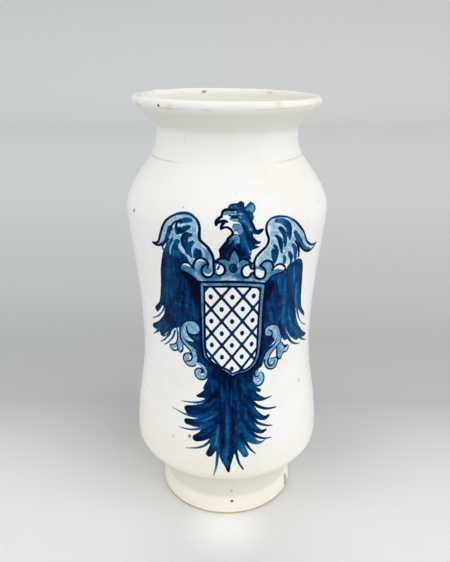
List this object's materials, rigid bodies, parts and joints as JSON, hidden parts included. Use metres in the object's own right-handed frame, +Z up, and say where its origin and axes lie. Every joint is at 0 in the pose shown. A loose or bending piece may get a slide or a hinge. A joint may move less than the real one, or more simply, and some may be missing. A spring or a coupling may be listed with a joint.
{
  "type": "albarello jar",
  "caption": "Waisted tin-glazed pharmacy jar on a turned foot, with a flared lip and a crowned eagle painted in blue, for dry drugs, herbs or ointment.",
  "frame": {"origin": "on the jar's axis, in the plane that the foot ring stands on", "axes": "+Z up the jar's axis, -Y towards the painted front"},
  "size_m": [0.1292, 0.1297, 0.28],
  "materials": {
    "biscuit_clay": "matte, bare buff clay",
    "tin_glaze": "glossy opaque white",
    "pale_blue": "glossy, thin cobalt wash",
    "mid_blue": "glossy, brushed cobalt",
    "dark_blue": "glossy, thick cobalt"
  },
  "bodies": {
    "root": {"earthenware_body": "biscuit_clay", "outer_glaze": "tin_glaze", "inner_glaze": "tin_glaze", "painted_left_wing": "pale_blue", "painted_right_wing": "pale_blue", "painted_head": "mid_blue", "painted_crown": "pale_blue", "painted_left_flight_feathers": "dark_blue", "painted_right_flight_feathers": "dark_blue", "painted_shield": "mid_blue", "painted_left_scroll": "pale_blue", "painted_right_scroll": "pale_blue", "painted_tail": "dark_blue"}
  },
  "joints": []
}
